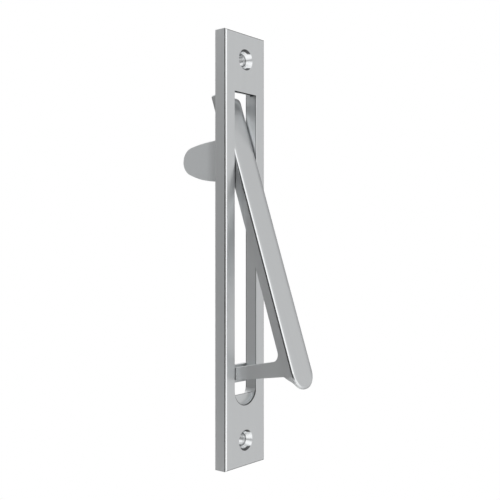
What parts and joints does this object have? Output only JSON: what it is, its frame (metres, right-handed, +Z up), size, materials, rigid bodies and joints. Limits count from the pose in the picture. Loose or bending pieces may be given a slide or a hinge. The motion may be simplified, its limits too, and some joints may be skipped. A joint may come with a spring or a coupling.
{
  "type": "pocket door edge pull",
  "caption": "Slim face plate for a pocket door's edge with a rocking lever that swings out of its slot as a finger pull.",
  "frame": {"origin": "middle of the face plate's back face, which is the centre of the two screw holes where the plate seats on the door edge", "axes": "+X across the plate, +Y back into the door edge, +Z up along the plate; the lever swings out towards -Y"},
  "size_m": [0.0222, 0.0511, 0.1588],
  "materials": {
    "plate_metal": "satin",
    "lever_metal": "satin",
    "pin_steel": "ground",
    "washer_nylon": "natural"
  },
  "bodies": {
    "plate": {"face_plate": "plate_metal", "pivot_pin": "pin_steel", "friction_washer_left": "washer_nylon", "friction_washer_right": "washer_nylon"},
    "lever": {"lever": "lever_metal"}
  },
  "joints": [
    {"name": "lever_swing", "type": "hinge", "parent": "plate", "child": "lever", "pos_m": [0, 0.00464, 0.03277], "axis": [1, 0, 0], "range_deg": [0, 18.5]}
  ]
}
